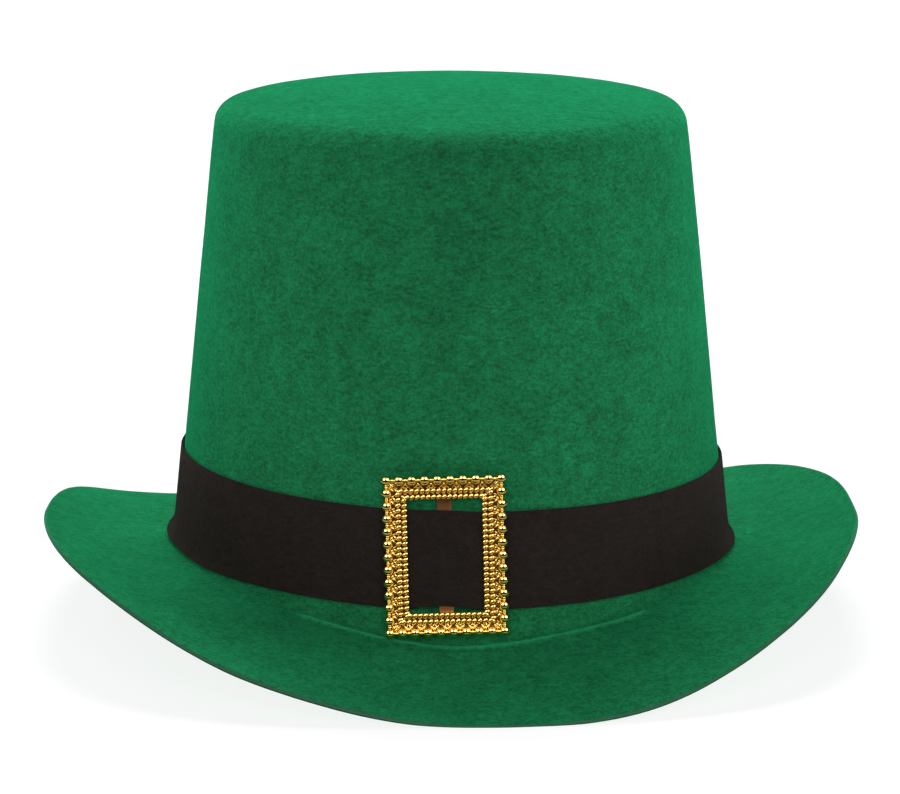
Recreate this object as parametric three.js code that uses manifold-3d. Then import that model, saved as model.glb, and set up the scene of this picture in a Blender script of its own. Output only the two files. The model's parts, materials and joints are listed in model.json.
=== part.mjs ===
// A leprechaun's top hat: one moulded piece of green felt, a black felt band, and a beaded
// gilt buckle threaded on the band. Millimetres, +Z up. The hat stands on z = 0, on the front
// and the back of its brim. Its front, with the buckle, faces -Y, and the origin is under the
// middle of the crown.
import * as THREE from "three";
import { mergeVertices } from "three/addons/utils/BufferGeometryUtils.js";
import Module from "manifold-3d";

const wasm = await Module();
wasm.setup();

// Felt
const feltThickness = 1.6;
const clearance = 0.3; // between any two pieces

// Crown: an oval that tapers to a domed top
const crownBaseHeight = 28.5; // where the base width and length are measured
const crownBaseWidth = 176.6;
const crownBaseLength = 198;
const crownHeight = 171.5;
const crownDome = 5.5; // how far the middle of the top stands over its edge
const crownTopWidth = 149.2; // measured at the level of the top's edge
const crownTopLength = 167.2;
const shoulderRadius = 7.9;
const shoulderSkew = 0.6; // how much rounder the shoulder is on the right, and sharper on the left
const shoulderFullness = 4.5; // how much rounder it is in front

// Brim: squarish from above, high at the sides, low in front and behind
const brimWidth = 258.4;
const brimLength = 299;
const brimSquareness = 2.45; // 2 is an ellipse
const brimRise = 35; // height of the side edges over the resting plane
const brimSettle = 0.8; // how far the lowest felt is flattened by the surface under it
const breakHeight = 25.0; // where the crown turns into the brim, on the left
const breakDip = 12.0; // how much lower it turns in front and behind
const breakReach = 6.8; // how far the turn reaches up the wall and out along the brim
const breakTightness = 0.63; // how much less it reaches in front and behind, as a share
const rimStrip = 1.8; // width of the strip along the edge that can lie flat

// Band
const bandHeight = 29.6; // in front and behind
const bandSideTuck = 1.7; // how much narrower it is at the sides
const bandThickness = 0.9;
const bandFoot = 26.2; // height of its lower edge at the sides
const bandFrontDip = 2.6; // how much lower it sits in front and behind
const bandTilt = -0.014; // it was glued on slightly crooked: rise per millimetre of X
const bandTaper = 0.007; // it narrows towards +X: per millimetre
const bandPinch = 1.6; // how far its lower edge is drawn up where it climbs over the bar

// Buckle: a casting with a row of beads, two rope mouldings and a bar behind
const beadPitch = 3.85;
const beadsAcross = 10;
const beadsDown = 13;
const beadRadius = 1.47;
const spacerRadius = 0.75; // the small round spacer between two beads
const beadWireRadius = 0.45;
const windowWidth = 22.2;
const windowHeight = 33.9;
const ropeRadius = 0.95;
const plateThickness = 1.0;
const plateLip = 0.4; // how far the plate shows outside the line of the beads
const barWidth = 4.4;
const barThickness = 1.2;
const barSetBack = 0.9; // how far the bar lies behind the back of the plate
const buckleX = -1.7;
const buckleHeight = 40.2; // of its middle
const buckleStandOff = 2.0; // from the crown's wall at that height to the back of the plate
const buckleTurn = 1.4; // degrees, top to the left as seen from the front

// How finely the round shapes are divided
const hatSections = 72;
const domeRings = 2;
const shoulderSteps = 4;
const wallSteps = 2;
const breakSteps = 4;
const brimSteps = 5;
const bandCoarseStep = 6; // degrees
const bandFineStep = 1.5; // degrees, where the band rises over the buckle's bar
const bandFineSpan = 15; // degrees to either side of the buckle
const beadSides = 8;
const beadRings = 5;

// The hat's outline changes from section to section. at: degrees round the hat, 0 at +X and 270
// in front. rim: height of the brim's edge, as a share of brimRise. dip: how far the turn from
// crown to brim sinks, as a share of breakDip. ledge: slope of the felt just outside that turn.
// fall: slope at which the brim sets off from there.
const sections = [
  { at: 0, rim: 0.99, dip: 0.22, ledge: 0.1, fall: 0.12 },
  { at: 22.5, rim: 0.95, dip: 0.23, ledge: 0.06, fall: 0.06 },
  { at: 45, rim: 0.73, dip: 0.3, ledge: 0, fall: -0.08 },
  { at: 67.5, rim: 0.27, dip: 0.55, ledge: 0, fall: -0.28 },
  { at: 90, rim: 0, dip: 0.82, ledge: 0, fall: -0.38 },
  { at: 112.5, rim: 0.08, dip: 0.55, ledge: 0, fall: -0.33 },
  { at: 135, rim: 0.43, dip: 0.21, ledge: 0, fall: -0.12 },
  { at: 157.5, rim: 0.82, dip: 0.05, ledge: 0.06, fall: 0.04 },
  { at: 180, rim: 1, dip: 0, ledge: 0.1, fall: 0.12 },
  { at: 202.5, rim: 1.05, dip: 0.05, ledge: 0.06, fall: 0.08 },
  { at: 225, rim: 0.85, dip: 0.08, ledge: 0, fall: -0.06 },
  { at: 247.5, rim: 0.33, dip: 0.53, ledge: 0, fall: -0.28 },
  { at: 270, rim: 0, dip: 1, ledge: 0, fall: -0.38 },
  { at: 292.5, rim: 0.09, dip: 0.74, ledge: 0, fall: -0.36 },
  { at: 315, rim: 0.62, dip: 0.4, ledge: 0, fall: -0.14 },
  { at: 337.5, rim: 1.005, dip: 0.24, ledge: 0.06, fall: 0.04 },
];

const radians = THREE.MathUtils.degToRad;
const lerp = THREE.MathUtils.lerp;
const frontAngle = 270;

// A column of the table at any angle, along a smooth curve through its rows.
function sectionValue(column, heading) {
  const count = sections.length;
  const place = (THREE.MathUtils.euclideanModulo(heading, 360) / 360) * count;
  const row = Math.floor(place);
  const t = place - row;
  const [before, here, next, after] = [-1, 0, 1, 2].map(
    (step) => sections[(row + step + count) % count][column],
  );
  const linear = (next - before) / 2;
  const square = before - 2.5 * here + 2 * next - after / 2;
  const cube = (after - before) / 2 + 1.5 * (here - next);
  return here + t * (linear + t * (square + t * cube));
}

// Distance from the axis to an oval of this width and length, in the direction of an angle.
function ovalRadius(heading, width, length, power = 2) {
  const across = Math.abs(Math.cos(radians(heading))) / (width / 2);
  const along = Math.abs(Math.sin(radians(heading))) / (length / 2);
  return (across ** power + along ** power) ** (-1 / power);
}

// The crown's wall in one section: its distance from the axis at a height.
const topEdgeHeight = crownHeight - crownDome;
function wallRadius(heading, z) {
  const share = (z - crownBaseHeight) / (topEdgeHeight - crownBaseHeight);
  return ovalRadius(
    heading,
    lerp(crownBaseWidth, crownTopWidth, share),
    lerp(crownBaseLength, crownTopLength, share),
  );
}

// How far the wall leans in from upright in one section, in radians.
function wallLean(heading) {
  return Math.atan(wallRadius(heading, 0) - wallRadius(heading, 1));
}

// The outer face of the felt in one section, from near the axis to the brim's edge, as points
// whose x is the distance from the axis and whose y is the height.
function feltProfile(heading) {
  const points = [];
  const add = (x, y) => points.push(new THREE.Vector2(x, y));

  const radius =
    shoulderRadius +
    shoulderSkew * Math.cos(radians(heading)) +
    shoulderFullness * Math.max(-Math.sin(radians(heading)), 0) ** 2;
  const shoulderLevel = topEdgeHeight - radius;
  const lean = wallLean(heading);
  const shoulderCentre = wallRadius(heading, shoulderLevel) - radius / Math.cos(lean);
  const topAngle = Math.PI / 2 - Math.atan((2 * crownDome) / shoulderCentre);
  const edgeX = shoulderCentre + radius * Math.cos(topAngle);
  const edgeY = shoulderLevel + radius * Math.sin(topAngle);
  for (let i = 1; i <= domeRings; i++) {
    const share = i / (domeRings + 1);
    add(edgeX * share, lerp(crownHeight, edgeY, share ** 2));
  }
  for (let i = 0; i <= shoulderSteps; i++) {
    const angle = lerp(topAngle, lean, i / shoulderSteps);
    add(
      shoulderCentre + radius * Math.cos(angle),
      shoulderLevel + radius * Math.sin(angle),
    );
  }

  const turn = breakHeight - breakDip * sectionValue("dip", heading);
  const turnReach = breakReach * (1 - breakTightness * Math.sin(radians(heading)) ** 2);
  const corner = wallRadius(heading, turn);
  const wallTop = points.at(-1).y;
  const wallFoot = turn + turnReach;
  for (let i = 1; i < wallSteps; i++) {
    const z = lerp(wallTop, wallFoot, i / wallSteps);
    add(wallRadius(heading, z), z);
  }
  const ledgeX = corner + turnReach;
  const ledgeY = turn + sectionValue("ledge", heading) * turnReach;
  const bend = new THREE.QuadraticBezierCurve(
    new THREE.Vector2(wallRadius(heading, wallFoot), wallFoot),
    new THREE.Vector2(corner, turn),
    new THREE.Vector2(ledgeX, ledgeY),
  );
  points.push(...bend.getPoints(breakSteps));

  const rimX = ovalRadius(heading, brimWidth, brimLength, brimSquareness);
  const rise = brimRise * Math.max(sectionValue("rim", heading), 0);
  const rimY = feltThickness - brimSettle + rise;
  const reach = rimX - ledgeX;
  const fall = sectionValue("fall", heading) * reach;
  const brimPoint = (share) =>
    add(ledgeX + reach * share, ledgeY + fall * share + (rimY - ledgeY - fall) * share ** 2);
  const inner = 1 - rimStrip / reach;
  for (let i = 1; i <= brimSteps; i++) brimPoint((inner * i) / brimSteps);
  brimPoint(1);
  return points;
}

// The same line moved square to itself by a distance, positive away from the felt's outer face.
function offsetProfile(points, distance) {
  return points.map((point, i) => {
    const normals = [points[i - 1], points[i + 1]]
      .map((other, side) => {
        if (!other) return null;
        const along = side ? other.clone().sub(point) : point.clone().sub(other);
        return new THREE.Vector2(-along.y, along.x).normalize();
      })
      .filter(Boolean);
    const normal = normals.reduce((sum, n) => sum.add(n), new THREE.Vector2()).normalize();
    return point.clone().addScaledVector(normal, distance / normal.dot(normals[0]));
  });
}

// A point of a section, in space.
function inSpace(heading, point) {
  const angle = radians(heading);
  return [point.x * Math.cos(angle), point.x * Math.sin(angle), point.y];
}

// A closed surface through rings of as many points each. With poles, the first and last ring
// close on a point; without them, the rings themselves follow one another in a circle.
function skin(rings, poles) {
  const count = rings[0].length;
  const vertices = rings.flat();
  const triangles = [];
  const at = (ring, i) => (ring % rings.length) * count + (i % count);
  for (let ring = 0; ring < (poles ? rings.length - 1 : rings.length); ring++) {
    for (let i = 0; i < count; i++) {
      const [a, b, c, d] = [at(ring, i), at(ring, i + 1), at(ring + 1, i + 1), at(ring + 1, i)];
      triangles.push(a, d, b, b, d, c);
    }
  }
  if (poles) {
    const [first, last] = [vertices.length, vertices.length + 1];
    vertices.push(...poles);
    for (let i = 0; i < count; i++) {
      triangles.push(first, at(0, i), at(0, i + 1));
      triangles.push(last, at(rings.length - 1, i + 1), at(rings.length - 1, i));
    }
  }
  const geometry = new THREE.BufferGeometry();
  geometry.setAttribute("position", new THREE.Float32BufferAttribute(vertices.flat(), 3));
  geometry.setIndex(triangles);
  return geometry;
}

// The moulded felt: crown and brim in one wall, open below.
function hatBody() {
  const outer = [];
  const inner = [];
  for (let i = 0; i < hatSections; i++) {
    const heading = (360 * i) / hatSections;
    const face = feltProfile(heading);
    const back = offsetProfile(face, -feltThickness);
    outer.push(face.map((point) => inSpace(heading, point)));
    inner.push(
      back.map((point) => inSpace(heading, new THREE.Vector2(point.x, Math.max(point.y, 0)))),
    );
  }
  const ring = (columns, level) => columns.map((column) => column[level]);
  const levels = outer[0].map((_, level) => level);
  const rings = [
    ...levels.map((level) => ring(outer, level)),
    ...levels.reverse().map((level) => ring(inner, level)),
  ];
  return skin(rings, [
    [0, 0, crownHeight],
    [0, 0, crownHeight - feltThickness],
  ]);
}

// Where a section's outer face passes a height, on its wall or the turn below it.
function faceAt(heading, z, distance) {
  const line = offsetProfile(feltProfile(heading), distance);
  for (let i = domeRings; i < line.length - 1; i++) {
    const [upper, lower] = [line[i], line[i + 1]];
    if (upper.y >= z && lower.y <= z) {
      const share = (upper.y - z) / (upper.y - lower.y);
      return new THREE.Vector2(lerp(upper.x, lower.x, share), z);
    }
  }
  throw new Error("the felt's face doesn't reach " + z + " mm at " + heading + " degrees");
}

// The band lies on the wall, and on the turn below it at the sides. In front it rises over the
// buckle's bar.
const barOutFromWall = buckleStandOff - barSetBack + barThickness;
function liftShare(x) {
  const flat = barWidth / 2 + clearance;
  const distance = Math.abs(x - buckleX);
  return 1 - THREE.MathUtils.smoothstep(distance, flat, windowWidth / 2 + 2 * ropeRadius);
}
function hatBand() {
  const stations = [];
  const buckleAngle = frontAngle + THREE.MathUtils.radToDeg(Math.asin(buckleX / (crownBaseLength / 2)));
  const fineCount = Math.round((2 * bandFineSpan) / bandFineStep);
  for (let i = 0; i <= fineCount; i++) {
    stations.push(lerp(buckleAngle - bandFineSpan, buckleAngle + bandFineSpan, i / fineCount));
  }
  const restSpan = 360 - 2 * bandFineSpan;
  const coarseCount = Math.round(restSpan / bandCoarseStep);
  for (let i = 1; i < coarseCount; i++) {
    stations.push(buckleAngle + bandFineSpan + (restSpan * i) / coarseCount);
  }
  const levels = [0, 0.08, 0.18, 0.35, 1];
  const loops = stations.map((heading) => {
    const front = Math.sin(radians(heading)) ** 2;
    const x = faceAt(heading, bandFoot + bandHeight / 2, 0).x * Math.cos(radians(heading));
    const lift = Math.sin(radians(heading)) < 0 ? liftShare(x) : 0;
    const foot = bandFoot - bandFrontDip * front + bandTilt * x + bandPinch * lift;
    const height =
      bandHeight - bandSideTuck * (1 - front) - bandTaper * x - (bandPinch / 2) * lift;
    const line = (distance) =>
      levels.map((level) => {
        const point = faceAt(heading, foot + height * level, distance);
        return inSpace(heading, point.setX(point.x + barOutFromWall * lift));
      });
    return [...line(clearance + bandThickness), ...line(clearance).reverse()];
  });
  return skin(loops, null);
}

// A closed geometry as a solid that can be joined and cut, and back again.
function solid(geometry) {
  const bare = new THREE.BufferGeometry();
  const source = geometry.index ? geometry.toNonIndexed() : geometry;
  bare.setAttribute("position", source.getAttribute("position"));
  const merged = mergeVertices(bare, 1e-4);
  return new wasm.Manifold(
    new wasm.Mesh({
      numProp: 3,
      vertProperties: merged.attributes.position.array,
      triVerts: new Uint32Array(merged.index.array),
    }),
  );
}
function surface(made) {
  const mesh = made.getMesh();
  const geometry = new THREE.BufferGeometry();
  geometry.setAttribute("position", new THREE.BufferAttribute(mesh.vertProperties, 3));
  geometry.setIndex(new THREE.BufferAttribute(mesh.triVerts, 1));
  return geometry;
}

// A flat rectangle from its middle outwards, as a shape or as a hole in one.
function rectangle(Kind, halfWidth, halfHeight) {
  const path = new Kind();
  path.moveTo(-halfWidth, -halfHeight);
  path.lineTo(halfWidth, -halfHeight);
  path.lineTo(halfWidth, halfHeight);
  path.lineTo(-halfWidth, halfHeight);
  path.closePath();
  return path;
}

// The buckle lies face up here: x across, y up the hat, z out from the plate's back.
function buckle() {
  const halfAcross = ((beadsAcross - 1) * beadPitch) / 2;
  const halfDown = ((beadsDown - 1) * beadPitch) / 2;

  const plateShape = rectangle(THREE.Shape, halfAcross + plateLip, halfDown + plateLip);
  plateShape.holes.push(rectangle(THREE.Path, windowWidth / 2, windowHeight / 2));
  let made = solid(
    new THREE.ExtrudeGeometry(plateShape, { depth: plateThickness, bevelEnabled: false }),
  );
  const join = (geometry) => {
    made = made.add(solid(geometry));
  };

  for (const row of [0, 1]) {
    const inside = row * 2 * ropeRadius + ropeRadius / 2;
    const rope = rectangle(
      THREE.Shape,
      windowWidth / 2 + inside + ropeRadius,
      windowHeight / 2 + inside + ropeRadius,
    );
    rope.holes.push(
      rectangle(THREE.Path, windowWidth / 2 + inside, windowHeight / 2 + inside),
    );
    const ridge = new THREE.ExtrudeGeometry(rope, {
      depth: ropeRadius,
      bevelThickness: ropeRadius / 2,
      bevelSize: ropeRadius / 2 - 0.02,
      bevelSegments: 1,
    });
    join(ridge.translate(0, 0, plateThickness / 2));
  }

  const beadPlaces = [];
  for (let i = 0; i < beadsAcross; i++) {
    const x = lerp(-halfAcross, halfAcross, i / (beadsAcross - 1));
    beadPlaces.push([x, halfDown], [x, -halfDown]);
  }
  for (let i = 1; i < beadsDown - 1; i++) {
    const y = lerp(-halfDown, halfDown, i / (beadsDown - 1));
    beadPlaces.push([halfAcross, y], [-halfAcross, y]);
  }
  for (const [x, y] of beadPlaces) {
    const bead = new THREE.SphereGeometry(beadRadius, beadSides, beadRings);
    join(bead.rotateX(Math.PI / 2).translate(x, y, beadRadius));
  }
  for (const side of [-1, 1]) {
    const across = new THREE.BoxGeometry(2 * halfAcross, 2 * beadWireRadius, 2 * spacerRadius);
    join(across.translate(0, side * halfDown, beadRadius));
    const down = new THREE.BoxGeometry(2 * beadWireRadius, 2 * halfDown, 2 * spacerRadius);
    join(down.translate(side * halfAcross, 0, beadRadius));
  }

  const bar = new THREE.BoxGeometry(barWidth, 2 * halfDown, barThickness);
  join(bar.translate(0, 0, barThickness / 2 - barSetBack));
  return surface(made);
}

function named(name, geometry, color, roughness, metalness) {
  const material = new THREE.MeshStandardMaterial({ color, roughness, metalness });
  const mesh = new THREE.Mesh(geometry, material);
  mesh.name = name;
  return mesh;
}

const hat = new THREE.Group();
hat.add(named("hat_body", hatBody(), 0x1a6a42, 0.95, 0));
hat.add(named("hat_band", hatBand(), 0x221e1c, 0.95, 0));

const buckleSeat = new THREE.Group();
buckleSeat.position.set(
  buckleX,
  -(wallRadius(frontAngle, buckleHeight) + buckleStandOff),
  buckleHeight,
);
buckleSeat.rotation.x = Math.PI / 2 - wallLean(frontAngle);
const buckleMesh = named("buckle", buckle(), 0xd9a93c, 0.2, 1);
buckleMesh.rotation.z = radians(buckleTurn);
buckleSeat.add(buckleMesh);
hat.add(buckleSeat);

export default hat;
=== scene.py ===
"""Dresses the solids of a leprechaun's top hat: moulded green felt, a black felt band and a
beaded gilt buckle, on a pale floor in soft studio light."""

import json
import math

import bmesh
import bpy
from mathutils import Euler, Matrix, Vector

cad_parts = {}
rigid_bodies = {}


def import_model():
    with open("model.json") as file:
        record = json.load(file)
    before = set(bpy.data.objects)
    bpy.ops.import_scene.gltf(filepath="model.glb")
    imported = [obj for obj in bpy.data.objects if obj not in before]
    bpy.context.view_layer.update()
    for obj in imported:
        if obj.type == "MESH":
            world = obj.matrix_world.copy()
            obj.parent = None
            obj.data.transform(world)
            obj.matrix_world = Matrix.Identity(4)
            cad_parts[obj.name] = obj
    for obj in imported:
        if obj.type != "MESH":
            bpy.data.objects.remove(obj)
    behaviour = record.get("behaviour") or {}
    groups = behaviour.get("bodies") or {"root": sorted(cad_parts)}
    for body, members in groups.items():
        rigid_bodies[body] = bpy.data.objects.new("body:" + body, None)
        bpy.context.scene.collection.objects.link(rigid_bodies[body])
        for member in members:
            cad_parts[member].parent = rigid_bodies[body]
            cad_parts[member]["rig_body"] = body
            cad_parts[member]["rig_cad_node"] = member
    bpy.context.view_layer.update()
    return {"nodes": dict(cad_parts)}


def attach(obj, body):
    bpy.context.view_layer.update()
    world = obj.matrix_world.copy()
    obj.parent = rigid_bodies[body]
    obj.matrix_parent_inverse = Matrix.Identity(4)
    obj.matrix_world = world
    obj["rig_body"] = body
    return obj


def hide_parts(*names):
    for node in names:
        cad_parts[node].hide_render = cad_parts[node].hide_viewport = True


bl_info = {
    "name": "Leprechaun Hat",
    "version": (1, 0, 0),
    "blender": (4, 5, 0),
    "location": "3D View > Sidebar > Hat",
    "description": "Felt, band, buckle and studio for a leprechaun's top hat",
    "category": "Object",
}

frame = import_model()

MM = 0.001
X = Vector((1, 0, 0))
Y = Vector((0, 1, 0))
Z = Vector((0, 0, 1))


# Sizes and colours


def length(name, description, millimetres):
    return bpy.props.FloatProperty(
        name=name,
        description=description,
        default=millimetres * MM,
        min=0.0,
        precision=5,
        subtype="DISTANCE",
        unit="LENGTH",
    )


def colour(name, description, red, green, blue):
    return bpy.props.FloatVectorProperty(
        name=name,
        description=description,
        default=(red, green, blue),
        size=3,
        min=0.0,
        max=1.0,
        subtype="COLOR",
    )


def share(name, description, value, top=1.0):
    return bpy.props.FloatProperty(
        name=name, description=description, default=value, min=0.0, max=top, subtype="FACTOR"
    )


def power(name, description, watts):
    return bpy.props.FloatProperty(
        name=name, description=description, default=watts, min=0.0, unit="POWER"
    )


def angle(name, description, degrees):
    return bpy.props.FloatProperty(
        name=name,
        description=description,
        default=math.radians(degrees),
        subtype="ANGLE",
        unit="ROTATION",
    )


class FeltSizes(bpy.types.PropertyGroup):
    """The moulded felt and the strip round it."""

    shade: colour("Felt, in its hollows", "Green between the fibres", 0.012, 0.088, 0.034)
    light: colour("Felt, on its fibres", "Green of the raised fibres", 0.0195, 0.277, 0.103)
    band: colour("Band", "Black of the felt strip", 0.032, 0.025, 0.0215)
    rim: colour("Cut face", "Muted green of the brim's cut face", 0.036, 0.125, 0.066)
    edge: colour("Cut edge", "Dark green of the lower edge of the cut", 0.006, 0.016, 0.011)
    # Cut edge: painted shade, the cut's lower edge drawn dark green
    unevenness: length("Unevenness", "How far the felt strays from its block", 0.35)
    brim_half_width: length("Brim half width", "Half the brim's width", 130)
    brim_half_length: length("Brim half length", "Half the brim's length", 149.5)
    band_width: length("Band width", "Width of the strip", 29.6)
    band_length: length("Band length", "Length of the strip round the crown", 587)


class BuckleSizes(bpy.types.PropertyGroup):
    """The buckle, lying face up: X across, Y up the hat, Z out of its back."""

    gold: colour("Gold", "Colour of the plating", 1.0, 0.71, 0.22)
    tarnish: colour("Tarnish", "Colour of the tarnished plating", 0.45, 0.22, 0.05)
    # Recess: darker gilt, painted shade in the recesses of the plate and the rope cores
    recess_shade: colour("Recess", "Colour of the plating in the recesses", 0.3, 0.155, 0.04)
    # The bar's colour is a darker, coppery copy of the gold: painted shade on the bar that lies
    # behind the frame
    bar: colour("Bar", "Coppery colour of the bar behind", 0.62, 0.27, 0.11)
    pitch: length("Bead pitch", "From one bead to the next", 3.85)
    bead: length("Bead radius", "Radius of a bead", 1.56)
    rope: length("Rope radius", "Half the width of a rope moulding", 0.95)
    strand: length("Strand pitch", "From one strand of the rope to the next", 1.66)
    window_x: length("Window half width", "Half the opening's width", 11.1)
    window_y: length("Window half height", "Half the opening's height", 16.95)
    plate: length("Plate", "Thickness of the recessed plate", 1.0)
    lip: length("Lip", "How far the plate shows outside the beads' centres", 0.4)
    bar_half: length("Bar half width", "Half the width of the bar", 2.2)
    bar_thickness: length("Bar thickness", "Thickness of the bar", 1.2)
    bar_back: length("Bar set back", "How far the bar lies behind the plate's back", 0.9)
    seat_x: length("Off centre", "How far to the left the buckle sits", 1.7)
    seat_y: length("Seat depth", "From the crown's axis to the plate's back", 99.69)
    seat_z: length("Seat height", "Height of the buckle's middle", 40.2)
    lean: angle("Lean", "Top away from the front, as the crown leans", 6.39)
    turn: angle("Turn", "Top to the left as seen from the front", 1.4)
    across: bpy.props.IntProperty(
        name="Beads across", description="Beads in a row across", default=10, min=4
    )
    down: bpy.props.IntProperty(
        name="Beads down", description="Beads in a row down", default=13, min=4
    )


class StudioSizes(bpy.types.PropertyGroup):
    """The camera and the light."""

    distance: length("Camera distance", "From the crown's axis to the camera", 1450)
    aim: length("Aim height", "Height on the crown's axis that the camera looks at", 69.7)
    pitch: angle("Camera pitch", "How far the camera looks down", 10.865)
    offset: length("Camera offset", "How far the camera stands to the left", 0.34)
    front: power("Front", "Softbox in front of the hat", 6.4)
    side_left: power("Side left", "Low softbox beside the hat, on the left", 3.5)
    side_right: power("Side right", "Low softbox beside the hat, on the right", 6.6)
    rear_left: power("Rear left", "Softbox behind the hat, on the left", 1.2)
    high_left: power("High left", "Softbox high on the left", 1.2)
    high_back: power("High back", "Softbox high behind the hat", 14.2)
    gleam_left: power("Gleam left", "Reflector that shows in the metal, on the left", 12.0)
    gleam_right: power("Gleam right", "Reflector that shows in the metal, on the right", 14.0)
    lens: bpy.props.FloatProperty(
        name="Lens", description="Focal length in millimetres", default=180.6, min=1.0
    )
    floor: colour("Floor", "Colour of the floor", 0.25, 0.25, 0.25)
    front_edge: length("Front edge", "From the crown's axis to the floor's front edge", 300)
    glow: share("Floor glow", "Light that comes through the floor", 0.84, 10.0)
    shine: share("Floor in the metal", "Light of the floor as the metal shows it", 0.2, 10.0)
    dark: share("Room", "Brightness of the dark room", 0.02, 10.0)
    ceiling: share("Ceiling", "Brightness of the ceiling in the metal", 0.4, 10.0)


# Modelling helpers


def deselect():
    if bpy.context.object and bpy.context.object.mode != "OBJECT":
        bpy.ops.object.mode_set(mode="OBJECT")
    bpy.ops.object.select_all(action="DESELECT")


def only(piece):
    deselect()
    piece.select_set(True)
    bpy.context.view_layer.objects.active = piece
    return piece


def named(piece, name):
    piece.name = piece.data.name = name
    return piece


def apply_modifier(piece, kind, **settings):
    only(piece)
    bpy.ops.object.modifier_add(type=kind)
    modifier = piece.modifiers[-1]
    for key, value in settings.items():
        setattr(modifier, key, value)
    bpy.ops.object.modifier_apply(modifier=modifier.name)


def apply_place(piece):
    only(piece)
    bpy.ops.object.transform_apply(location=True, rotation=True, scale=True)
    return piece


def join(pieces, name):
    deselect()
    for piece in pieces:
        piece.select_set(True)
    bpy.context.view_layer.objects.active = pieces[0]
    bpy.ops.object.join()
    return named(pieces[0], name)


def row(piece, step, count, name):
    """One piece repeated along a line."""
    apply_modifier(
        piece,
        "ARRAY",
        count=count,
        use_relative_offset=False,
        use_constant_offset=True,
        constant_offset_displace=step,
    )
    return named(piece, name)


def crease(piece, chosen, amount):
    """Keeps the chosen edges crisp when the piece is subdivided."""
    only(piece)
    bpy.ops.object.mode_set(mode="EDIT")
    bpy.ops.mesh.select_mode(type="EDGE")
    bpy.ops.mesh.select_all(action="DESELECT")
    mesh = bmesh.from_edit_mesh(piece.data)
    for edge in filter(chosen, mesh.edges):
        edge.select_set(True)
    mesh.select_flush_mode()
    bmesh.update_edit_mesh(piece.data)
    bpy.ops.transform.edge_crease(value=amount)
    bpy.ops.object.mode_set(mode="OBJECT")


def corner_edge(edge):
    """An edge where the felt is cut square."""
    return edge.is_manifold and edge.calc_face_angle() > math.radians(45)


def solid_copy(node, name):
    """A copy of a solid's mesh as clean quads, for the felt to be worked from."""
    only(frame["nodes"][node])
    bpy.ops.object.duplicate(linked=False)
    piece = named(bpy.context.object, name)
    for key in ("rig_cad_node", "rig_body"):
        del piece[key]
    piece.parent = None
    piece.data.materials.clear()
    only(piece)
    bpy.ops.mesh.customdata_custom_splitnormals_clear()
    bpy.ops.object.mode_set(mode="EDIT")
    bpy.ops.mesh.select_all(action="SELECT")
    bpy.ops.mesh.remove_doubles(threshold=0.01 * MM)
    bpy.ops.mesh.tris_convert_to_quads(
        face_threshold=math.radians(50), shape_threshold=math.radians(60)
    )
    bpy.ops.object.mode_set(mode="OBJECT")
    return piece


def smooth(piece, degrees=40):
    only(piece)
    bpy.ops.object.shade_smooth_by_angle(angle=math.radians(degrees))


# Materials


def node(tree, kind, inputs=None, **settings):
    made = tree.nodes.new(kind)
    for key, value in settings.items():
        setattr(made, key, value)
    for key, value in (inputs or {}).items():
        if isinstance(value, bpy.types.NodeSocket):
            tree.links.new(value, made.inputs[key])
        else:
            made.inputs[key].default_value = value
    return made


def material(name, surface):
    """A new material: surface(tree, place) gives its shader from the piece's own coordinates."""
    made = bpy.data.materials.new(name)
    made.use_nodes = True
    tree = made.node_tree
    tree.nodes.clear()
    place = node(tree, "ShaderNodeTexCoord").outputs["Object"]
    shader = surface(tree, place)
    node(tree, "ShaderNodeOutputMaterial", {"Surface": shader.outputs[0]})
    return made


def stretched(tree, place, scale):
    return node(tree, "ShaderNodeMapping", {"Vector": place, "Scale": scale}).outputs[0]


def noise(tree, place, scale, detail=3.0, distortion=0.0):
    return node(
        tree,
        "ShaderNodeTexNoise",
        {"Vector": place, "Scale": scale, "Detail": detail, "Distortion": distortion},
    ).outputs["Fac"]


def spread(tree, value, low, high, to_low=0.0, to_high=1.0):
    return node(
        tree,
        "ShaderNodeMapRange",
        {"Value": value, "From Min": low, "From Max": high, "To Min": to_low, "To Max": to_high},
        interpolation_type="SMOOTHSTEP",
    ).outputs["Result"]


def math_node(tree, operation, first, second):
    return node(tree, "ShaderNodeMath", {0: first, 1: second}, operation=operation).outputs[0]


def plus(tree, base, part, weight):
    return math_node(tree, "ADD", base, math_node(tree, "MULTIPLY", part, weight))


def blend(tree, factor, first, second):
    mix = node(tree, "ShaderNodeMix", data_type="RGBA")
    for socket, value in ((mix.inputs[0], factor), (mix.inputs[6], first), (mix.inputs[7], second)):
        if isinstance(value, bpy.types.NodeSocket):
            tree.links.new(value, socket)
        else:
            socket.default_value = value
    return mix.outputs[2]


def rgba(values):
    return (*values, 1.0)


def marked(tree, name):
    return node(tree, "ShaderNodeAttribute", attribute_name=name).outputs["Fac"]


# Detail of the felt's noises, per metre. Wrinkles and hairs are flat: finer in height than across.
CLOUDS = 55.0
BLOTCHES = 210.0
GRAIN = 1150.0
WRINKLES = (480.0, 480.0, 1050.0)
HAIRS = (190.0, 190.0, 620.0)
# How much each noise counts in the felt's tone
WRINKLE_SHARE = 0.36
GRAIN_SHARE = 0.32
BLOTCH_SHARE = 0.2
CLOUD_SHARE = 0.12
HAIR_SHARE = 0.26
# Painted highlight: share by which the ridges and the cut's upper edge turn lighter
FOLD_HIGHLIGHT_SHARE = 0.55  # how far the ridges turn to their lighter tone
FELT_RELIEF = 0.6 * MM


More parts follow.
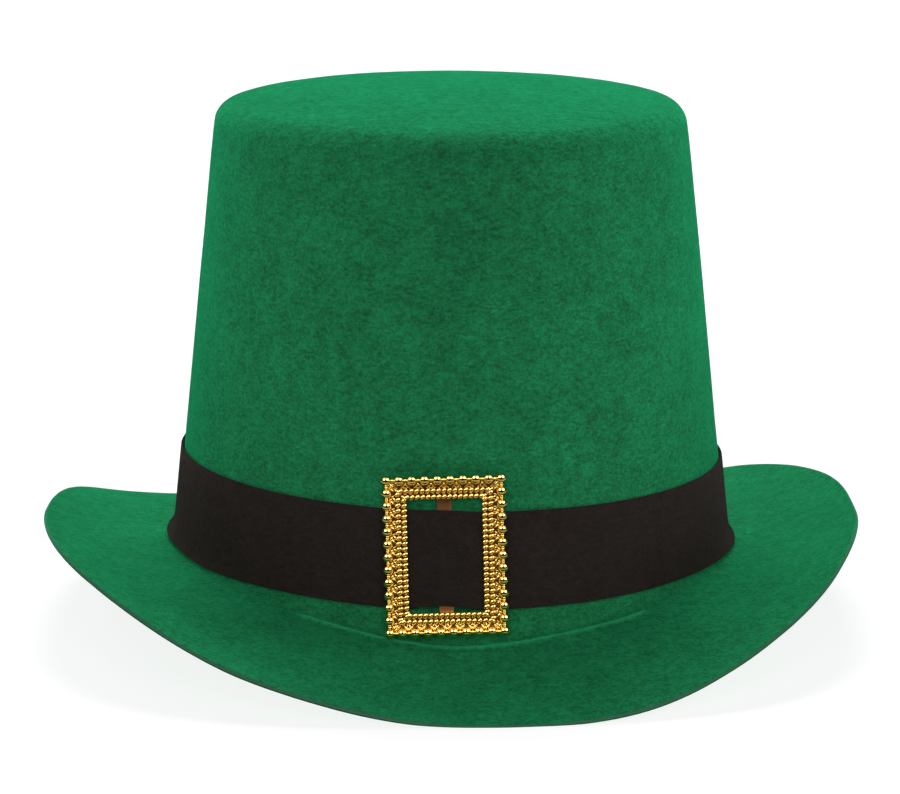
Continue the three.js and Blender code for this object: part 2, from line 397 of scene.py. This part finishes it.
def felt_surface(shade, light, sheen, tint, rim=None, edge=None):
    """Pressed wool: faint blotches, grain, and here and there fine wrinkles that run round the hat.
    With a rim and an edge colour it also shows its cut face, with painted shade along the cut's
    lower edge and a painted highlight along the folds and the cut's upper edge."""

    def surface(tree, place):
        clouds = noise(tree, place, CLOUDS, 2.0)
        blotches = noise(tree, place, BLOTCHES, 2.0, 0.4)
        grain = noise(tree, place, GRAIN, 3.0, 0.5)
        wrinkles = noise(tree, stretched(tree, place, WRINKLES), 1.0, 3.0, 0.8)
        hairs = noise(tree, stretched(tree, place, HAIRS), 1.0, 2.0, 1.8)
        parts = (
            (spread(tree, wrinkles, 0.34, 0.66), WRINKLE_SHARE),
            (spread(tree, grain, 0.36, 0.64), GRAIN_SHARE),
            (spread(tree, blotches, 0.3, 0.7), BLOTCH_SHARE),
            (spread(tree, clouds, 0.3, 0.7), CLOUD_SHARE),
        )
        mixed = 0.0
        for part, weight in parts:
            mixed = plus(tree, mixed, part, weight)
        tone = blend(tree, mixed, rgba(shade), rgba(light))
        fleck = spread(tree, hairs, 0.62, 0.7, 0.0, HAIR_SHARE)
        fleck = math_node(tree, "MULTIPLY", fleck, spread(tree, clouds, 0.42, 0.6))
        tone = blend(tree, fleck, tone, rgba([min(1.0, 1.6 * c + 0.004) for c in light]))
        if rim:
            face = plus(tree, marked(tree, "rim"), grain, 0.06)
            tone = blend(tree, spread(tree, face, 0.86, 0.95), tone, rgba(rim))
            # Painted highlight: the ridges and the cut's upper edge turn a lighter green
            fold_highlight = plus(tree, marked(tree, "fold"), wrinkles, 0.3)
            fold_highlight = spread(tree, fold_highlight, 0.88, 1.15, 0.0, FOLD_HIGHLIGHT_SHARE)
            tone = blend(tree, fold_highlight, tone, rgba([2.0 * c + 0.01 for c in light]))
            # Painted shade: the cut's lower edge turns dark green
            edge_shade = plus(tree, marked(tree, "cut"), grain, 0.15)
            tone = blend(tree, spread(tree, edge_shade, 0.64, 0.86), tone, rgba(edge))
        height = plus(tree, wrinkles, grain, 0.5)
        bump = node(
            tree,
            "ShaderNodeBump",
            {"Height": height, "Strength": 0.7, "Distance": FELT_RELIEF},
        )
        return node(
            tree,
            "ShaderNodeBsdfPrincipled",
            {
                "Base Color": tone,
                "Roughness": 1.0,
                "Specular IOR Level": 0.0,
                "Sheen Weight": sheen,
                "Sheen Roughness": 0.45,
                "Sheen Tint": rgba(tint),
                "Normal": bump.outputs[0],
            },
        )

    return surface


def metal_surface(bright, dull, roughness, tarnished=0.3):
    """Plated casting: bright, hardly uneven, with a little tarnish."""

    def surface(tree, place):
        waves = noise(tree, place, 500.0, 1.0)
        grain = noise(tree, place, 2600.0, 2.0)
        tarnish = spread(tree, noise(tree, place, 260.0, 3.0), 0.5, 0.75, 0.0, tarnished)
        tone = blend(tree, tarnish, rgba(bright), rgba(dull))
        rough = spread(tree, grain, 0.2, 0.8, roughness * 0.7, roughness * 1.4)
        bump = node(
            tree,
            "ShaderNodeBump",
            {"Height": waves, "Strength": 0.1, "Distance": 0.05 * MM},
        )
        return node(
            tree,
            "ShaderNodeBsdfPrincipled",
            {
                "Base Color": tone,
                "Metallic": 1.0,
                "Roughness": rough,
                "Normal": bump.outputs[0],
            },
        )

    return surface


# Pieces of felt


BRIM_SQUARENESS = 2.45  # 2 is an oval, more is squarer
CUT_THICKNESS = 4 * MM  # edges shorter than this cross the cut face
FOLD_LOWEST = 8 * MM
FOLD_HIGHEST = 30 * MM
FOLD_LEAST = 0.04  # least angle of a ridge, in radians
# The ridges and the cut's upper edge carry a painted highlight: these set its strength
FOLD_HIGHLIGHT_FULL = 0.08  # angle at which a ridge is lightest
UPPER_EDGE_HIGHLIGHT = 0.84  # how light the cut's upper edge is, as a share of the ridges


class HAT_OT_felt(bpy.types.Operator):
    """Works the crown and brim from their solid: smooth moulded felt with a cut edge, painted shade
    along its lower edge and a painted highlight along its upper edge and the ridges
    """

    bl_idname = "hat.felt"
    bl_label = "Moulded felt"

    def rim_face(self, face):
        """The upright strip of faces round the brim's cut edge."""
        sizes = bpy.context.scene.hat_felt
        middle = face.calc_center_median()
        reach = (abs(middle.x) / sizes.brim_half_width) ** BRIM_SQUARENESS
        reach += (abs(middle.y) / sizes.brim_half_length) ** BRIM_SQUARENESS
        outward = Vector((middle.x, middle.y, 0)).normalized()
        return reach > 0.9 and face.normal.dot(outward) > 0.7

    def fold_edge(self, edge):
        """The ridge in front and behind, where the felt turns down from crown to brim."""
        if not edge.is_manifold or not edge.is_convex:
            return False
        middle = (edge.verts[0].co + edge.verts[1].co) / 2
        outward = Vector((middle.x, middle.y, 0)).normalized()
        run = (edge.verts[1].co - edge.verts[0].co).normalized()
        level = all(face.normal.z > 0.5 for face in edge.link_faces)
        low = FOLD_LOWEST < middle.z < FOLD_HIGHEST and outward.length > 0
        round_the_hat = abs(run.dot(outward)) < 0.4
        return level and low and round_the_hat and edge.calc_face_angle() > FOLD_LEAST

    def mark(self, felt):
        """Writes where the felt is cut, where the cut's lower edge gets painted shade and where the
        ridges and the cut's upper edge get a painted highlight, for its material to read.
        """
        only(felt)
        bpy.ops.object.mode_set(mode="EDIT")
        mesh = bmesh.from_edit_mesh(felt.data)
        mesh.normal_update()
        rim = mesh.verts.layers.float.new("rim")
        cut = mesh.verts.layers.float.new("cut")
        fold = mesh.verts.layers.float.new("fold")
        for face in filter(self.rim_face, mesh.faces):
            for corner in face.verts:
                corner[rim] = 1.0
            # Across the cut face, the lower edge is marked for painted shade and the upper edge for
            # a painted highlight
            for edge in face.edges:
                if edge.calc_length() < CUT_THICKNESS:
                    lower, upper = sorted(edge.verts, key=lambda end: end.co.z)
                    lower[cut] = 1.0
                    upper[fold] = UPPER_EDGE_HIGHLIGHT
        # The ridges carry a painted highlight, strongest where they are sharpest
        for edge in filter(self.fold_edge, mesh.edges):
            for end in edge.verts:
                end[fold] = max(end[fold], min(1.0, edge.calc_face_angle() / FOLD_HIGHLIGHT_FULL))
        bmesh.update_edit_mesh(felt.data)
        bpy.ops.object.mode_set(mode="OBJECT")

    def execute(self, context):
        sizes = context.scene.hat_felt
        felt = solid_copy("hat_body", "felt")
        self.mark(felt)
        crease(felt, corner_edge, 0.35)
        crease(felt, self.fold_edge, 0.9)
        apply_modifier(felt, "SUBSURF", levels=2, render_levels=2)
        dents = bpy.data.textures.new("felt_unevenness", "CLOUDS")
        dents.noise_scale = 0.028
        dents.noise_depth = 2
        apply_modifier(
            felt,
            "DISPLACE",
            texture=dents,
            strength=sizes.unevenness,
            mid_level=0.5,
            texture_coords="LOCAL",
        )
        felt.data.materials.append(
            material(
                "moulded_felt",
                felt_surface(
                    sizes.shade, sizes.light, 0.25, (0.01, 1.0, 0.42), sizes.rim, sizes.edge
                ),
            )
        )
        smooth(felt, 60)
        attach(felt, "root")
        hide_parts("hat_body")
        return {"FINISHED"}


class HAT_OT_band(bpy.types.Operator):
    """Works the black felt strip from its solid"""

    bl_idname = "hat.band"
    bl_label = "Band"

    def execute(self, context):
        sizes = context.scene.hat_felt
        band = solid_copy("hat_band", "band")
        crease(band, corner_edge, 0.8)
        apply_modifier(band, "SUBSURF", levels=2, render_levels=2)
        band.data.materials.append(
            material(
                "felt_strip",
                felt_surface([0.6 * c for c in sizes.band], sizes.band, 0.04, (1.0, 0.95, 0.9)),
            )
        )
        smooth(band, 50)
        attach(band, "root")
        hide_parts("hat_band")
        return {"FINISHED"}


# Pieces of the buckle, made flat and then seated on the crown


def seat(piece, sizes):
    place = Matrix.Translation((-sizes.seat_x, -sizes.seat_y, sizes.seat_z))
    place @= Matrix.Rotation(math.pi / 2 - sizes.lean, 4, "X")
    place @= Matrix.Rotation(sizes.turn, 4, "Z")
    piece.matrix_world = place
    apply_place(piece)
    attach(piece, "root")
    return piece


def gilt(sizes):
    found = bpy.data.materials.get("polished_gilt")
    return found or material("polished_gilt", metal_surface(sizes.gold, sizes.tarnish, 0.05, 0.15))


# Darker gilt for the plate and the rope cores: painted shade in the recesses, with a little tarnish
# at random
def recess_shade(sizes):
    found = bpy.data.materials.get("tarnished_gilt")
    return found or material("tarnished_gilt", metal_surface(sizes.recess_shade, sizes.tarnish, 0.35))


def ring(name, outer_x, outer_y, inner_x, inner_y, low, high, bevel):
    """A flat frame between two rectangles, from one level to another, with eased edges.
    The outer and inner sizes are half widths and half heights."""
    deselect()
    bpy.ops.mesh.primitive_plane_add(size=2.0, location=(0, 0, low))
    piece = named(bpy.context.object, name)
    piece.scale = (outer_x, outer_y, 1)
    apply_place(piece)
    bpy.ops.object.mode_set(mode="EDIT")
    bpy.ops.mesh.select_all(action="SELECT")
    border = (outer_x - inner_x) * 0.5
    bpy.ops.mesh.inset(thickness=border)
    bpy.ops.transform.resize(
        value=(inner_x / (outer_x - border), inner_y / (outer_y - border), 1),
        center_override=(0, 0, low),
    )
    bpy.ops.mesh.delete(type="FACE")
    bpy.ops.mesh.select_all(action="SELECT")
    bpy.ops.mesh.extrude_region_move(TRANSFORM_OT_translate={"value": (0, 0, high - low)})
    bpy.ops.mesh.select_all(action="SELECT")
    bpy.ops.mesh.normals_make_consistent(inside=False)
    bpy.ops.object.mode_set(mode="OBJECT")
    apply_modifier(piece, "BEVEL", width=bevel, segments=3, limit_method="ANGLE")
    return piece


def ball(radius, place, squeeze=(1, 1, 1), turn=0.0, segments=20, rings=12):
    """A cast bead or drop: a sphere, drawn out and turned in the buckle's plane."""
    deselect()
    bpy.ops.mesh.primitive_uv_sphere_add(
        segments=segments, ring_count=rings, radius=radius, location=place
    )
    made = bpy.context.object
    made.scale = squeeze
    made.rotation_euler = (0, 0, turn)
    return apply_place(made)


def half_spans(sizes):
    """From the buckle's middle to the lines through the beads' centres, across and up."""
    half_x = (sizes.across - 1) * sizes.pitch / 2
    half_y = (sizes.down - 1) * sizes.pitch / 2
    return half_x, half_y


class HAT_OT_plate(bpy.types.Operator):
    """Makes the buckle's recessed plate"""

    bl_idname = "hat.plate"
    bl_label = "Buckle plate"

    def execute(self, context):
        sizes = context.scene.hat_buckle
        half_x, half_y = half_spans(sizes)
        plate = ring(
            "buckle_plate",
            half_x + sizes.lip,
            half_y + sizes.lip,
            sizes.window_x + 0.25 * MM,
            sizes.window_y + 0.25 * MM,
            0,
            sizes.plate * 0.8,
            0.15 * MM,
        )
        # The plate takes the darker gilt: painted shade in the recess behind the beads and ropes
        plate.data.materials.append(recess_shade(sizes))
        smooth(plate)
        seat(plate, sizes)
        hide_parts("buckle")
        return {"FINISHED"}


# How a strand of the rope lies, and how it is drawn out: along it, across it and in height
LAY_ACROSS = math.radians(58)
LAY_UPRIGHT = math.radians(26)
STRAND_SHAPE = (1.14, 0.76, 0.92)


class HAT_OT_ropes(bpy.types.Operator):
    """Makes the two rope mouldings round the window, strand by strand"""

    bl_idname = "hat.ropes"
    bl_label = "Rope mouldings"

    def execute(self, context):
        sizes = context.scene.hat_buckle
        radius = sizes.rope
        base = sizes.plate * 0.5
        pieces = []
        for level in (0, 1):
            inside = 2 * radius * level
            core = ring(
                "rope_core",
                sizes.window_x + inside + 1.65 * radius,
                sizes.window_y + inside + 1.65 * radius,
                sizes.window_x + inside + 0.35 * radius,
                sizes.window_y + inside + 0.35 * radius,
                base,
                sizes.plate - 0.05 * radius,
                0.15 * radius,
            )
            # The core under the strands takes the darker gilt: painted shade between the strands
            core.data.materials.append(recess_shade(sizes))
            pieces.append(core)
            line_x = sizes.window_x + inside + radius
            line_y = sizes.window_y + inside + radius
            for along, line, far in ((X, line_x, line_y), (Y, line_y, line_x)):
                count = round(2 * line / sizes.strand)
                step = 2 * line / count
                lay = LAY_ACROSS if along is X else LAY_UPRIGHT
                across = Y if along is X else X
                for side in (-1, 1):
                    start = along * (step / 2 - line) + across * (side * far)
                    strand = ball(
                        radius,
                        start + Z * (sizes.plate + 0.1 * radius),
                        STRAND_SHAPE,
                        lay,
                        14,
                        8,
                    )
                    strand.data.materials.append(gilt(sizes))
                    pieces.append(row(strand, along * step, count, "strands"))
            for x in (-1, 1):
                for y in (-1, 1):
                    corner = Vector((x * line_x, y * line_y, sizes.plate + 0.1 * radius))
                    knot = ball(radius, corner, (1.3, 0.6, 0.9), math.atan2(y, x), 14, 8)
                    knot.data.materials.append(gilt(sizes))
                    pieces.append(knot)
        ropes = join(pieces, "buckle_ropes")
        smooth(ropes, 60)
        seat(ropes, sizes)
        return {"FINISHED"}


class HAT_OT_beads(bpy.types.Operator):
    """Makes the border of beads"""

    bl_idname = "hat.beads"
    bl_label = "Beads"

    def execute(self, context):
        sizes = context.scene.hat_buckle
        half_x, half_y = half_spans(sizes)
        pieces = []
        for side in (-1, 1):
            first = ball(sizes.bead, (-half_x, side * half_y, sizes.bead), segments=28, rings=18)
            pieces.append(row(first, X * sizes.pitch, sizes.across, "beads"))
            first = ball(
                sizes.bead,
                (side * half_x, sizes.pitch - half_y, sizes.bead),
                segments=28,
                rings=18,
            )
            pieces.append(row(first, Y * sizes.pitch, sizes.down - 2, "beads"))
        beads = join(pieces, "buckle_beads")
        beads.data.materials.append(gilt(sizes))
        smooth(beads, 60)
        seat(beads, sizes)
        return {"FINISHED"}


class HAT_OT_lattice(bpy.types.Operator):
    """Makes what joins beads and ropes: rods with collars, struts, small beads, corner leaves"""

    bl_idname = "hat.lattice"
    bl_label = "Lattice"

    def link(self, sizes, middle, along, inward):
        """The rod, collar, small bead and two struts between two beads."""
        pitch, level = sizes.pitch, sizes.bead
        turn = math.atan2(along.y, along.x)
        parts = [
            ball(0.6 * MM, middle + Z * level, (1.9, 0.7, 0.75), turn, 14, 8),
            ball(0.62 * MM, middle + Z * level, (0.85, 1.0, 1.0), turn, 16, 10),
            ball(0.85 * MM, middle + inward * 1.9 * MM + Z * 0.8 * MM, (1, 1, 0.6), 0, 14, 8),
            ball(0.48 * MM, middle + inward * 1.15 * MM + Z * (level - 0.1 * MM), segments=14),
        ]
        for side in (-1, 1):
            top = middle + inward * 0.7 * MM
            foot = middle + inward * 2.35 * MM + along * (side * 0.36 * pitch)
            run = foot - top
            parts.append(
                ball(
                    run.length / 2,
                    (top + foot) / 2 + Z * (level - 0.35 * MM),
                    (1.1, 0.32, 0.36),
                    math.atan2(run.y, run.x),
                    14,
                    8,
                )
            )
        return join(parts, "link")

    def execute(self, context):
        sizes = context.scene.hat_buckle
        half_x, half_y = half_spans(sizes)
        pieces = []
        for side in (-1, 1):
            middle = Vector((sizes.pitch / 2 - half_x, side * half_y, 0))
            link = self.link(sizes, middle, X, Y * -side)
            pieces.append(row(link, X * sizes.pitch, sizes.across - 1, "links"))
            middle = Vector((side * half_x, sizes.pitch / 2 - half_y, 0))
            link = self.link(sizes, middle, Y, X * -side)
            pieces.append(row(link, Y * sizes.pitch, sizes.down - 1, "links"))
        for x in (-1, 1):
            for y in (-1, 1):
                middle = Vector((x * (half_x - 1.55 * MM), y * (half_y - 1.55 * MM), 1.15 * MM))
                pieces.append(
                    ball(1.5 * MM, middle, (1.0, 0.42, 0.5), math.atan2(y, x), 16, 10)
                )
        lattice = join(pieces, "buckle_lattice")
        lattice.data.materials.append(gilt(sizes))
        smooth(lattice, 60)
        seat(lattice, sizes)
        return {"FINISHED"}


class HAT_OT_bar(bpy.types.Operator):
    """Makes the bar that the band passes over"""

    bl_idname = "hat.bar"
    bl_label = "Bar"

    def execute(self, context):
        sizes = context.scene.hat_buckle
        _, half_y = half_spans(sizes)
        deselect()
        low = -sizes.bar_back
        bpy.ops.mesh.primitive_cube_add(size=2.0, location=(0, 0, low + sizes.bar_thickness / 2))
        bar = named(bpy.context.object, "buckle_bar")
        bar.scale = (sizes.bar_half, half_y, sizes.bar_thickness / 2)
        apply_place(bar)
        apply_modifier(bar, "BEVEL", width=0.45 * MM, segments=4, limit_method="ANGLE")
        # Painted shade: the bar takes a darker, coppery copy of the gold
        paint = material("bar_metal", metal_surface(sizes.bar, sizes.recess_shade, 0.35, 0.6))
        bar.data.materials.append(paint)
        smooth(bar)
        seat(bar, sizes)
        return {"FINISHED"}


# Studio


FLOOR_SIZE = 12.0
GLOW_NEAR = 0.35  # from here on the floor grows lighter
GLOW_FAR = 0.9  # from here on it is white
LAMP_DISTANCE = 1.3
LAMP_AIM = Vector((0, 0, 0.07))

# Name, turn from the front and rise in degrees, width and height in metres, metal alone
SOFTBOXES = (
    ("front", 0, 20, 0.6, 0.6, False),
    ("side_left", -95, 12, 0.6, 0.6, False),
    ("side_right", 95, 12, 0.6, 0.6, False),
    ("rear_left", -135, 36, 0.6, 0.6, False),
    ("high_left", -110, 62, 0.6, 0.6, False),
    ("high_back", 180, 62, 0.6, 0.6, False),
    ("gleam_left", -52, 42, 1.1, 0.85, True),
    ("gleam_right", 52, 42, 1.1, 0.85, True),
)


def floor_surface(tone, glow, shine):
    """A pale sheet of plastic with a faint grain, lit from below, most of all away from the hat.
    It is duller in the metal."""

    def surface(tree, place):
        grain = spread(tree, noise(tree, place, 9.0), 0.3, 0.7)
        shade = blend(tree, grain, rgba([0.97 * c for c in tone]), rgba(tone))
        away = node(tree, "ShaderNodeVectorMath", {0: place}, operation="LENGTH").outputs["Value"]
        light = spread(tree, away, GLOW_NEAR, GLOW_FAR, glow, 1.0)
        path = node(tree, "ShaderNodeLightPath").outputs
        return node(
            tree,
            "ShaderNodeBsdfPrincipled",
            {
                "Base Color": shade,
                "Roughness": 0.9,
                "Specular IOR Level": 0.0,
                "Emission Color": rgba((1, 1, 1)),
                "Emission Strength": spread(tree, path["Is Glossy Ray"], 0.0, 1.0, light, shine),
            },
        )

    return surface


class HAT_OT_studio(bpy.types.Operator):
    """Sets the floor, the light and the camera"""

    bl_idname = "hat.studio"
    bl_label = "Studio"

    def room(self, sizes):
        """White to look at, dark to the felt. The metal sees its pale ceiling."""
        world = bpy.data.worlds.new("studio")
        world.use_nodes = True
        tree = world.node_tree
        tree.nodes.clear()
        place = node(tree, "ShaderNodeTexCoord").outputs["Generated"]
        axes = node(tree, "ShaderNodeSeparateXYZ", {"Vector": place})
        ceiling = spread(tree, axes.outputs["Z"], 0.5, 0.9, sizes.dark, sizes.ceiling)
        path = node(tree, "ShaderNodeLightPath").outputs
        glow = spread(tree, path["Is Glossy Ray"], 0.0, 1.0, sizes.dark, ceiling)
        light = node(tree, "ShaderNodeBackground", {"Color": rgba((1, 1, 1)), "Strength": glow})
        white = node(tree, "ShaderNodeBackground", {"Color": rgba((1, 1, 1)), "Strength": 1.0})
        both = node(
            tree,
            "ShaderNodeMixShader",
            {0: path["Is Camera Ray"], 1: light.outputs[0], 2: white.outputs[0]},
        )
        node(tree, "ShaderNodeOutputWorld", {"Surface": both.outputs[0]})
        bpy.context.scene.world = world

    def softbox(self, name, turn, rise, width, height, watts, metal):
        """A softbox on a circle round the hat: turned from the front, raised from the floor.
        It lights either the metal alone or all but the metal."""
        way = Vector((0, -1, 0))
        way.rotate(Euler((-math.radians(rise), 0, 0)))
        way.rotate(Euler((0, 0, math.radians(turn))))
        deselect()
        bpy.ops.object.light_add(type="AREA", location=LAMP_AIM + way * LAMP_DISTANCE)
        lamp = named(bpy.context.object, name)
        lamp.rotation_euler = (-way).to_track_quat("-Z", "Y").to_euler()
        lamp.data.shape = "RECTANGLE"
        lamp.data.size = width
        lamp.data.size_y = height
        lamp.data.energy = watts
        lamp.visible_camera = False
        lamp.visible_glossy = metal
        lamp.visible_diffuse = not metal

    def execute(self, context):
        sizes = context.scene.hat_studio
        self.room(sizes)
        deselect()
        bpy.ops.mesh.primitive_grid_add(size=FLOOR_SIZE, x_subdivisions=2, y_subdivisions=2)
        floor = named(bpy.context.object, "floor")
        floor.location = (0, FLOOR_SIZE / 2 - sizes.front_edge, -0.02 * MM)
        apply_place(floor)
        paint = material("floor_paint", floor_surface(sizes.floor, sizes.glow, sizes.shine))
        floor.data.materials.append(paint)
        for name, turn, rise, width, height, metal in SOFTBOXES:
            self.softbox(name, turn, rise, width, height, getattr(sizes, name), metal)
        bpy.ops.object.camera_add()
        camera = named(bpy.context.object, "camera")
        camera.location = (
            -sizes.offset,
            -sizes.distance * math.cos(sizes.pitch),
            sizes.aim + sizes.distance * math.sin(sizes.pitch),
        )
        camera.rotation_euler = (math.pi / 2 - sizes.pitch, 0, 0)
        camera.data.sensor_width = 36.0
        camera.data.lens = sizes.lens
        context.scene.camera = camera
        context.scene.view_settings.view_transform = "Standard"
        return {"FINISHED"}


# Registration


GROUPS = (
    ("hat_felt", FeltSizes),
    ("hat_buckle", BuckleSizes),
    ("hat_studio", StudioSizes),
)
OPERATORS = (
    HAT_OT_felt,
    HAT_OT_band,
    HAT_OT_plate,
    HAT_OT_ropes,
    HAT_OT_beads,
    HAT_OT_lattice,
    HAT_OT_bar,
    HAT_OT_studio,
)


class VIEW3D_PT_hat(bpy.types.Panel):
    """Lists the hat's pieces and their sizes"""

    bl_idname = "VIEW3D_PT_hat"
    bl_label = "Leprechaun Hat"
    bl_space_type = "VIEW_3D"
    bl_region_type = "UI"
    bl_category = "Hat"

    def draw(self, context):
        for operator in OPERATORS:
            self.layout.operator(operator.bl_idname)
        for name, group in GROUPS:
            box = self.layout.box()
            for key in group.__annotations__:
                box.prop(getattr(context.scene, name), key)


def register():
    for name, group in GROUPS:
        bpy.utils.register_class(group)
        setattr(bpy.types.Scene, name, bpy.props.PointerProperty(type=group))
    for kind in (*OPERATORS, VIEW3D_PT_hat):
        bpy.utils.register_class(kind)


def unregister():
    for kind in reversed((*OPERATORS, VIEW3D_PT_hat)):
        bpy.utils.unregister_class(kind)
    for name, group in reversed(GROUPS):
        delattr(bpy.types.Scene, name)
        bpy.utils.unregister_class(group)


def main():
    register()
    bpy.ops.hat.felt()
    bpy.ops.hat.band()
    bpy.ops.hat.plate()
    bpy.ops.hat.ropes()
    bpy.ops.hat.beads()
    bpy.ops.hat.lattice()
    bpy.ops.hat.bar()
    bpy.ops.hat.studio()


if __name__ == "__main__":
    main()
